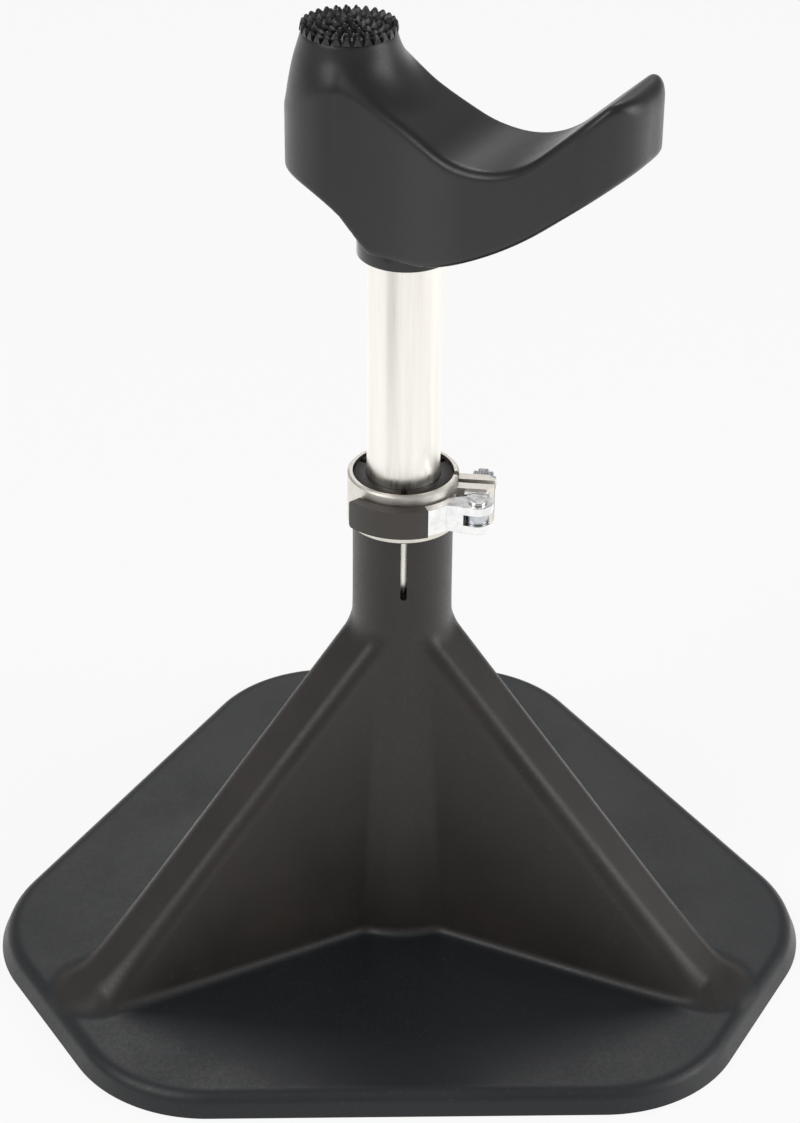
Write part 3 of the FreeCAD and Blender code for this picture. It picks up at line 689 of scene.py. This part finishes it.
@dataclass
class Base:
    """The heavy moulded base: plate, column, neck and three ribs in one piece.

    Stations run along a rib from the post's axis.
    """

    step: float = 2.0
    fine_step: float = 1.4
    fine_top: float = 24.0
    first_side: float = 270.0
    side_step: float = 60.0
    plate_corner: float = 80.0
    plate_height: float = 12.0
    plate_lean: float = 5.0
    plate_edge: float = 4.5
    foot_fillet: float = 4.0
    neck_radius: float = 26.2
    neck_break: float = 0.8
    column_top: float = 190.0
    column_foot: float = 52.0
    column_bend: float = 6.0
    column_fillet: float = 3.2
    rib_top: float = 185.7
    rib_reach: float = 196.2
    rib_round: float = 8.0
    crest_half: float = 17.2
    crest_taper: float = 0.01
    rib_foot_half: float = 34.5
    foot_taper: float = 0.0615
    toe_station: float = 190.0
    toe_rise: float = 0.5
    toe_bend: float = 14.0
    toe_lean: float = 0.8
    bore: float = 19.35
    bore_floor: float = 14.0
    slot_width: float = 3.4
    slot_bottom: float = 213.0
    slot_above: float = 5.0
    slot_steps: int = 8
    round_share: float = 0.85
    cut_clear: float = 2.0
    cut_wide: float = 8.0
    cut_above: float = 20.0
    crease: float = 50.0

    def build(self) -> None:
        """Make the moulding with its soft fillets, then cut the bore and the neck's slots."""
        low, high = (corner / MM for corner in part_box("base_moulding"))
        self.reaches = (-low.y, high.y)
        self.neck_top = high.z
        self.plate_corners = self._corner_centres()
        flat = [np.arange(low[i] - self.step, high[i] + 2 * self.step, self.step) for i in range(2)]
        tall = np.concatenate([np.arange(-self.fine_step, self.fine_top, self.fine_step),
                               np.arange(self.fine_top, high.z + 4 * self.step, self.step)])
        moulding = SurfaceNet(self.field, [*flat, tall]).mesh("base")
        self._cut_flat(moulding)
        piece = show(moulding, BASE_RUBBER, Body.BASE, ["base_moulding"])
        self._cut_out(piece)

    def _corner_centres(self) -> Points:
        """Where the arcs of the plate's six round corners have their centres.

        Returns:
            The centres, counter-clockwise.
        """
        turn = math.radians(self.side_step)
        centres = []
        for index in range(6):
            first = math.radians(self.first_side) + index * turn
            near = self.reaches[index % 2] - self.plate_corner
            far = self.reaches[(index + 1) % 2] - self.plate_corner
            along = (far - near * math.cos(turn)) / math.sin(turn)
            centres.append((near * math.cos(first) - along * math.sin(first),
                            near * math.sin(first) + along * math.cos(first)))
        return centres

    def _rib(self, x: np.ndarray, y: np.ndarray, z: np.ndarray) -> np.ndarray:
        """How far each place is outside the ribs.

        Args:
            x: Places along +X.
            y: Places along +Y.
            z: Heights.

        Returns:
            Distances, negative inside.
        """
        radius = np.hypot(x, y)
        ribs = 2 * math.radians(self.side_step)
        turn = np.arctan2(y, x) - math.radians(self.first_side + self.side_step)
        off = np.remainder(turn + ribs / 2, ribs) - ribs / 2
        station, across = radius * np.cos(off), radius * np.abs(np.sin(off))
        slope = (self.rib_top - self.plate_height) / (self.rib_reach - self.neck_radius)
        climb = slope * (self.rib_reach - station) - self.toe_rise
        rise = self.toe_rise + softly_positive(climb, self.toe_bend)
        steepness = slope * (1 + climb / np.hypot(climb, self.toe_bend)) / 2
        foot_half = self.rib_foot_half - self.foot_taper * station
        crest_half = self.crest_half - self.crest_taper * station
        lean = np.minimum((foot_half - crest_half) / rise, self.toe_lean)
        above = z - self.plate_height
        off = np.hypot(np.maximum(station - self.toe_station, 0), across)
        side = (off - foot_half + lean * np.maximum(above, 0)) / np.hypot(1, lean)
        top = (above - rise) / np.hypot(1, steepness)
        return round_corner(side, top, np.minimum(self.rib_round, self.round_share * rise))

    def field(self, x: np.ndarray, y: np.ndarray, z: np.ndarray) -> np.ndarray:
        """How far each place is outside the moulding, without its bore and slots.

        Args:
            x: Places along +X.
            y: Places along +Y.
            z: Heights.

        Returns:
            Distances, negative inside.
        """
        outline = outside_polygon(x, y, self.plate_corners) - self.plate_corner
        drawn_in = self.plate_lean / self.plate_height
        plate = round_corner((outline + drawn_in * z) / math.hypot(1, drawn_in), z - self.plate_height,
                             self.plate_edge)
        widening = (self.column_foot - self.neck_radius) / (self.column_top - self.plate_height)
        radius = self.neck_radius + widening * softly_positive(self.column_top - z, self.column_bend)
        column = (np.hypot(x, y) - radius) / math.hypot(1, widening)
        space = round_corner(-column, -self._rib(x, y, z), self.column_fillet)
        return -round_corner(-plate, space, self.foot_fillet)

    def _cut_flat(self, mesh: bpy.types.Mesh) -> None:
        """Cut the moulding off at the floor and close it with one flat face.

        Args:
            mesh: The moulding, in metres.
        """
        shell = bmesh.new()
        shell.from_mesh(mesh)
        everything = list(shell.verts) + list(shell.edges) + list(shell.faces)
        bmesh.ops.bisect_plane(shell, geom=everything, plane_no=(0, 0, -1), clear_outer=True)
        rim = [edge for edge in shell.edges if edge.is_boundary]
        bmesh.ops.edgeloop_fill(shell, edges=rim)
        shell.to_mesh(mesh)
        shell.free()

    def _cut_out(self, piece: bpy.types.Object) -> None:
        """Cut the neck to its height, and cut the post's bore and the three slots.

        Args:
            piece: The moulding.
        """
        edge = self.neck_radius - self.neck_break
        clear = self.neck_radius + self.cut_clear
        wide = clear + self.cut_wide
        ceiling = self.neck_top + self.cut_above
        foot = self.neck_top - (clear - edge)
        cut_with(piece, lathe("bore_cutter", [
            (0.0, self.bore_floor), (self.bore, self.bore_floor), (self.bore, self.neck_top),
            (edge, self.neck_top), (clear, foot), (wide, foot), (wide, ceiling), (0.0, ceiling)], CUT_TURNS))
        half = self.slot_width / 2
        outline = [(half, self.neck_top + self.slot_above), (-half, self.neck_top + self.slot_above)]
        for step in range(self.slot_steps + 1):
            angle = math.pi * (1 + step / self.slot_steps)
            outline.append((half * math.cos(angle), self.slot_bottom + half + half * math.sin(angle)))
        cutter = bpy.data.meshes.new("slot_cutter")
        vertices, faces = [], []
        for index in range(3):
            turn = Matrix.Rotation(math.radians(self.first_side + 2 * index * self.side_step), 3, "Z")
            first = len(vertices)
            for depth in (self.bore / 2, wide - self.cut_wide / 2):
                vertices += [turn @ Vector((depth, across, height)) * MM for across, height in outline]
            count = len(outline)
            faces.append([first + corner for corner in range(count)])
            faces.append([first + count + corner for corner in reversed(range(count))])
            for corner in range(count):
                after = (corner + 1) % count
                faces.append([first + corner, first + count + corner, first + count + after, first + after])
        cutter.from_pydata(vertices, [], faces)
        tidy_normals(cutter)
        cut_with(piece, cutter)
        tidy_normals(piece.data, self.crease)


@dataclass
class Post:
    """The drawn tube, its plug and the glossy collar in its top end."""

    radius: float = 19.05
    wall: float = 3.2
    end_break: float = 0.5
    flange_radius: float = 24.5
    flange_height: float = 12.6
    flange_edge: float = 1.0
    spigot_depth: float = 30.0
    bore: float = 8.08

    def build(self) -> None:
        """Make the tube and the collar, and dress the plug."""
        low, high = (corner.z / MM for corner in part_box("post_tube"))
        inner = self.radius - self.wall
        tube = lathe("post", rounded_profile([
            (inner, low, self.end_break), (self.radius, low, self.end_break),
            (self.radius, high, self.end_break), (inner, high, self.end_break)]))
        show(tube, DRAWN_ALUMINIUM, Body.POST, ["post_tube"])
        collar = lathe("collar", rounded_profile([
            (self.bore, high - self.spigot_depth, 0.0), (inner, high - self.spigot_depth, 1.0),
            (inner, high, 0.0), (self.flange_radius, high, self.flange_edge),
            (self.flange_radius, high + self.flange_height, self.flange_edge),
            (self.bore, high + self.flange_height, 0.0)]))
        show(collar, GLOSSY_ACETAL, Body.POST, ["swivel_bushing"])
        edge_softened("tube_end_plug", "end_plug", MATT_ACETAL, Body.POST, 0.4)


@dataclass
class Head:
    """The rubber head: a round pedestal with grip studs, and a long cradle beside it.

    Stations run along the head from the post's axis, positive towards the cradle.
    """

    turn: float = -30.0
    step: float = 1.25
    margin: float = 14.0
    foot: float = 407.0
    pedestal_station: float = -32.0
    pedestal_radius: float = 31.5
    pedestal_wall_top: float = 482.0
    pedestal_bend: float = 6.0
    pedestal_lean: float = 0.306
    rim_height: float = 510.0
    rim_radius: float = 23.4
    rim_edge: float = 2.2
    crown: float = 3.8
    flare: float = 0.35
    waist_station: float = 8.0
    waist_half: float = 27.5
    wing_station: float = 47.0
    wing_half: float = 31.0
    tip_station: float = 129.0
    tip_corner: float = 27.0
    tip_round: float = 9.5
    tip_overshoot: float = 1.5
    cradle_station: float = 50.0
    cradle_floor: float = 465.0
    cradle_bend: float = 50.0
    wing_slope: float = 43.0
    shoulder_slope: float = 27.0
    shoulder_height: float = 491.5
    shoulder_reach: float = 6.0
    pedestal_blend: float = 15.0
    top_edge: float = 5.0
    under_edge: float = 2.6
    under_end_rise: float = 32.0
    under_end_station: float = -54.0
    under_end_bend: float = 2.5
    under_flat_end: float = 10.5
    under_fall: Pairs = ((44.0, 50.0),)
    under_bow: Pairs = ((70.0, 22.0), (200.0, 39.5))
    under_share: float = 0.85
    flare_reach: float = 24.0
    end_fall: float = 0.6
    end_bend: float = 6.0
    slope_half: float = 0.5
    recess_gap: float = 0.5
    recess_below: float = 8.0
    socket_gap: float = 0.1
    net_crease: float = 80.0
    cut_crease: float = 60.0
    stud_crease: float = 50.0
    stud_rings: tuple[tuple[float, int], ...] = ((0.0, 1), (4.9, 7), (9.7, 14), (14.3, 20), (18.6, 25),
                                                 (21.9, 29))
    stud_levels: Pairs = ((1.95, 0.0), (1.6, 1.1), (0.75, 3.0), (0.35, 3.55))
    stud_sink: float = 0.6
    stud_turn: float = 0.12
    stud_seed: int = 7

    def cradle_top(self, station: np.ndarray) -> np.ndarray:
        """The height of the head's upper face along its length.

        Args:
            station: Places along the head.

        Returns:
            The cradle's round floor, its straight wing, the shoulder, and a fall beyond the pedestal.
        """
        run = station - self.cradle_station
        line = (self.cradle_floor + bowed_line(run, ((self.cradle_bend, self.wing_slope),))
                + bowed_line(-run, ((self.cradle_bend, self.shoulder_slope),)))
        capped = soft_join(line, np.full_like(line, self.shoulder_height), self.shoulder_reach)
        beyond = self.pedestal_station + self.end_bend - station
        fall = self.end_fall * softly_positive(beyond, self.end_bend)
        return np.where(run < 0, capped, line) - fall

    def underside(self, station: np.ndarray) -> np.ndarray:
        """The height of the head's lower face along its length.

        Args:
            station: Places along the head.

        Returns:
            The raised end, the slope down to the flat over the collar, and the long bow up to the tip.
        """
        fall = bowed_line(station - self.under_end_station, self.under_fall)
        rise = bowed_line(station - self.under_flat_end, self.under_bow)
        return self.foot + softly_positive(self.under_end_rise - fall, self.under_end_bend) + rise

    def half_width(self, station: np.ndarray) -> np.ndarray:
        """Half the wing's width along its length.

        Args:
            station: Places along the head.

        Returns:
            The half width: narrow at the waist and wide at both ends.
        """
        off = station - self.waist_station
        near = (off / (self.pedestal_station - self.waist_station)) ** 2
        far = np.clip(off / (self.wing_station - self.waist_station), 0, 1)
        return self.waist_half + np.where(off < 0, near * (self.pedestal_radius - self.waist_half),
                                          far ** 2 * (3 - 2 * far) * (self.wing_half - self.waist_half))

    def field(self, x: np.ndarray, y: np.ndarray, z: np.ndarray) -> np.ndarray:
        """How far each place is outside the head.

        Args:
            x: Places along +X.
            y: Places along +Y.
            z: Heights.

        Returns:
            Distances, negative inside.
        """
        turn = math.radians(self.turn)
        along = x * math.cos(turn) + y * math.sin(turn)
        across = np.abs(y * math.cos(turn) - x * math.sin(turn))
        wing_plan = round_corner(across - self.half_width(along), along - self.tip_station, self.tip_corner)
        wing_plan = np.maximum(wing_plan, self.pedestal_station - along)
        from_pedestal = np.hypot(along - self.pedestal_station, across)
        walls = np.minimum(from_pedestal - self.pedestal_radius, wing_plan)
        neck = self.pedestal_lean * softly_positive(z - self.pedestal_wall_top, self.pedestal_bend)
        below = self.pedestal_wall_top - self.pedestal_bend - z
        flare = self.flare * np.clip(below, 0, self.flare_reach)
        crown = self.rim_height + self.crown * (1 - (from_pedestal / self.rim_radius) ** 2)
        pedestal = round_corner(from_pedestal - self.pedestal_radius + neck - flare, z - crown, self.rim_edge)
        top = self.cradle_top(along)
        climb = self.cradle_top(along + self.slope_half) - self.cradle_top(along - self.slope_half)
        steep = np.hypot(1, climb)
        cradle = round_tip((z - top) / steep, along - self.tip_station - self.tip_overshoot,
                           self.tip_round, -climb / steep)
        body = round_corner(walls, soft_join(cradle, pedestal, self.pedestal_blend), self.top_edge)
        return round_corner(body, (self.underside(along) - z) * self.under_share, self.under_edge)

    def build(self) -> None:
        """Make the moulding and its studs, and dress the steel and washer inside."""
        margin = Vector((self.margin, self.margin, self.margin))
        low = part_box("head_moulding")[0] / MM - margin
        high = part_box("head_moulding")[1] / MM + margin
        axes = [np.arange(low[i], high[i] + self.step, self.step) for i in range(3)]
        moulding = SurfaceNet(self.field, axes).mesh("head")
        tidy_normals(moulding, self.net_crease)
        piece = show(moulding, HEAD_RUBBER, Body.HEAD, ["head_moulding"])
        self._hollow_out(piece)
        show(self._studs(), HEAD_RUBBER, Body.HEAD, ["grip_studs"])
        for node in ("spindle", "spindle_anchor", "spindle_circlip"):
            edge_softened(node, node + "_dressed", ZINC_PLATE, Body.HEAD, 0.2)
        edge_softened("thrust_washer", "slip_washer", WHITE_ACETAL, Body.HEAD, 0.2)

    def _hollow_out(self, piece: bpy.types.Object) -> None:
        """Cut the collar's recess and the spindle's socket out of the head.

        Args:
            piece: The head.
        """
        below = self.foot - self.recess_below
        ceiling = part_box("thrust_washer")[1].z / MM
        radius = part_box("swivel_bushing")[1].x / MM + self.recess_gap
        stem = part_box("spindle")[1].x / MM + self.socket_gap
        anchor_low, anchor_high = (corner.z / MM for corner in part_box("spindle_anchor"))
        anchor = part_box("spindle_anchor")[1].x / MM + self.socket_gap
        cut_with(piece, lathe("recess_cutter", [
            (0.0, below), (radius, below), (radius, ceiling), (stem, ceiling), (stem, anchor_low),
            (anchor, anchor_low), (anchor, anchor_high), (0.0, anchor_high)], CUT_TURNS))
        tidy_normals(piece.data, self.cut_crease)

    def _studs(self) -> bpy.types.Mesh:
        """Rings of small blunt pyramids, each square to the crown.

        Returns:
            One mesh with a closed shell per stud.
        """
        shell = bmesh.new()
        draw = random.Random(self.stud_seed)
        turn = math.radians(self.turn)
        centre = Vector((self.pedestal_station * math.cos(turn), self.pedestal_station * math.sin(turn), 0))
        for radius, count in self.stud_rings:
            for index in range(count):
                angle = 2 * math.pi * (index + 0.5 * (count % 2)) / count
                height = self.rim_height + self.crown * (1 - (radius / self.rim_radius) ** 2)
                lean = math.atan(2 * self.crown * radius / self.rim_radius ** 2)
                self._one_stud(shell, Matrix.Translation(centre + Vector((0, 0, height)))
                               @ Matrix.Rotation(angle, 4, "Z")
                               @ Matrix.Translation((radius, 0, -self.stud_sink))
                               @ Matrix.Rotation(lean, 4, "Y")
                               @ Matrix.Rotation(draw.uniform(-self.stud_turn, self.stud_turn), 4, "Z"))
        mesh = bpy.data.meshes.new("grip_stud_rings")
        bmesh.ops.scale(shell, vec=(MM, MM, MM), verts=shell.verts)
        shell.to_mesh(mesh)
        shell.free()
        tidy_normals(mesh, self.stud_crease)
        return mesh

    def _one_stud(self, shell: bmesh.types.BMesh, place: Matrix) -> None:
        """Add one stud: a four-sided pyramid with a small rounded tip.

        Args:
            shell: The mesh that gets the stud.
            place: Where it stands and which way it points.
        """
        rows = []
        for half, height in self.stud_levels:
            rows.append([shell.verts.new(place @ Vector((half * x, half * y, height)))
                         for x, y in ((-1, -1), (1, -1), (1, 1), (-1, 1))])
        shell.faces.new(rows[0][::-1])
        shell.faces.new(rows[-1])
        for lower, upper in zip(rows, rows[1:]):
            for side in range(4):
                after = (side + 1) % 4
                shell.faces.new((lower[side], lower[after], upper[after], upper[side]))


class Clamp:
    """The quick clamp round the neck: ring, bolt, washers, nut, lever, grip, pin and screw."""

    def build(self) -> None:
        """Break the edges of every machined piece and give each its metal."""
        parts = [
            ("clamp_ring", "ring", TUMBLED_ALUMINIUM, Body.BASE, Slot.RING_ALUMINIUM, 0.45),
            ("clamp_bolt", "eye_bolt", ZINC_PLATE, Body.BASE, Slot.ZINC_STEEL, 0.25),
            ("saddle_washer", "curved_washer", POLISHED_STEEL, Body.BASE, Slot.LEVER_STEEL, 0.3),
            ("nut_washer", "flat_washer", ZINC_PLATE, Body.BASE, Slot.ZINC_STEEL, 0.2),
            ("locating_screw", "ring_screw", POLISHED_STEEL, Body.BASE, Slot.LEVER_STEEL, 0.3),
            ("adjusting_nut", "thumb_nut", ZINC_PLATE, Body.NUT, Slot.ZINC_STEEL, 0.3),
            ("clamp_lever", "lever", POLISHED_STEEL, Body.LEVER, Slot.LEVER_STEEL, 0.4),
            ("lever_grip", "grip", DIPPED_VINYL, Body.LEVER, Slot.GRIP_RUBBER, 0.9),
            ("pivot_pin", "pin", POLISHED_STEEL, Body.LEVER, Slot.LEVER_STEEL, 0.25),
        ]
        for node, name, finish, body, slot, width in parts:
            edge_softened(node, name, finish, body, width)


# Floor, camera and light


@dataclass
class Studio:
    """A plain white floor, soft lamps and the photograph's camera."""

    image_height: float = 1123.0
    focal_pixels: float = 2752.1
    sensor: float = 36.0
    place: tuple[float, float, float] = (-0.0372, -1.2384, 0.9772)
    pitch: float = 0.548
    heading: float = -0.029
    roll: float = 0.01
    floor_size: float = 80.0
    backdrop: float = 0.9
    mirrored_floor: float = 1.4
    card_place: tuple[float, float, float] = (-0.87, -0.9, 0.0)
    card_inner: float = 0.28
    card_outer: float = 0.5
    floor_share: float = 0.87
    floor_white: str = "f4f4f3"
    floor_grey: str = "707070"
    world_light: tuple[float, float] = (0.3, 0.4)
    lamp_aim: tuple[float, float, float] = (0.0, 0.0, 0.25)
    lamps: tuple[tuple[str, tuple[float, float, float], float, float], ...] = (
        ("key_lamp", (-1.5, -1.0, 1.9), 1.2, 20.0), ("side_lamp", (1.9, -0.5, 0.9), 1.2, 17.0),
        ("back_lamp", (0.0, 1.9, 2.3), 1.0, 12.0))

    def build(self) -> None:
        """Set up the floor, world, lamps, camera and view."""
        self._floor()
        self._world()
        self._hang_lamps()
        self._camera()
        bpy.context.scene.view_settings.view_transform = "Standard"

    def _floor(self) -> None:
        """A large white floor that keeps the object's shadow."""
        mesh = bpy.data.meshes.new("floor")
        half = self.floor_size / 2
        mesh.from_pydata([(-half, -half, 0), (half, -half, 0), (half, half, 0), (-half, half, 0)], [],
                         [(0, 1, 2, 3)])
        floor = bpy.data.objects.new("floor", mesh)
        bpy.context.scene.collection.objects.link(floor)
        material = bpy.data.materials.new("white_paper_floor")
        material.use_nodes = True
        tree = material.node_tree
        tree.nodes.clear()
        paths = add_node(tree, "LightPath").outputs
        place = add_node(tree, "NewGeometry").outputs["Position"]
        away = add_node(tree, "VectorMath", {"operation": "DISTANCE", 1: self.card_place},
                        {0: place}).outputs["Value"]
        lit = ramp(tree, away, (self.card_inner, self.card_outer), soft=True)
        seen = combined(tree, "MAXIMUM", paths["Is Camera Ray"],
                        combined(tree, "MULTIPLY", paths["Is Glossy Ray"], lit))
        seen = combined(tree, "MAXIMUM", seen, paths["Is Transmission Ray"])
        share = combined(tree, "MULTIPLY", seen, self.floor_share)
        white = blended(tree, paths["Is Diffuse Ray"], self.floor_white, self.floor_grey)
        matt = add_node(tree, "BsdfDiffuse", {}, {"Color": white}).outputs["BSDF"]
        strength = ramp(tree, paths["Is Glossy Ray"], reach=(1.0, self.mirrored_floor))
        glow = add_node(tree, "Emission", {"Color": (1, 1, 1, 1)}, {"Strength": strength})
        mixed = add_node(tree, "MixShader", {}, {0: share, 1: matt, 2: glow.outputs["Emission"]})
        add_node(tree, "OutputMaterial", {}, {"Surface": mixed.outputs["Shader"]})
        mesh.materials.append(material)

    def _world(self) -> None:
        """An even pale surround."""
        world = bpy.data.worlds.new("studio")
        bpy.context.scene.world = world
        world.use_nodes = True
        tree = world.node_tree
        tree.nodes.clear()
        paths = add_node(tree, "LightPath").outputs
        strength = combined(tree, "MAXIMUM", ramp(tree, paths["Is Glossy Ray"], reach=self.world_light),
                            combined(tree, "MULTIPLY", paths["Is Camera Ray"], self.backdrop))
        sky = add_node(tree, "Background", {"Color": (1, 1, 1, 1)}, {"Strength": strength})
        add_node(tree, "OutputWorld", {}, {"Surface": sky.outputs["Background"]})

    def _hang_lamps(self) -> None:
        """Hang the soft square lamps, each with its place, side and power, pointing at the stand."""
        for name, place, size, power in self.lamps:
            light = bpy.data.lights.new(name, "AREA")
            light.size = size
            light.energy = power
            lamp = bpy.data.objects.new(name, light)
            lamp.location = place
            aim = Vector(self.lamp_aim) - Vector(place)
            lamp.rotation_euler = aim.to_track_quat("-Z", "Y").to_euler()
            bpy.context.scene.collection.objects.link(lamp)

    def _camera(self) -> None:
        """Stand the camera where the photograph was taken from."""
        data = bpy.data.cameras.new("camera")
        data.sensor_width = self.sensor
        data.lens = self.focal_pixels / self.image_height * self.sensor
        camera = bpy.data.objects.new("camera", data)
        turned = (Matrix.Rotation(self.heading, 4, "Z")
                  @ Matrix.Rotation(math.pi / 2 - self.pitch, 4, "X")
                  @ Matrix.Rotation(self.roll, 4, "Z"))
        camera.matrix_world = Matrix.Translation(self.place) @ turned
        bpy.context.scene.collection.objects.link(camera)
        bpy.context.scene.camera = camera


def main() -> None:
    """Build the studio and every sub-assembly."""
    logging.basicConfig(level=logging.INFO, format="%(message)s")
    Studio().build()
    for assembly in (Base(), Post(), Head(), Clamp()):
        LOG.info("Building %s", type(assembly).__name__)
        assembly.build()


if __name__ == "__main__":
    main()
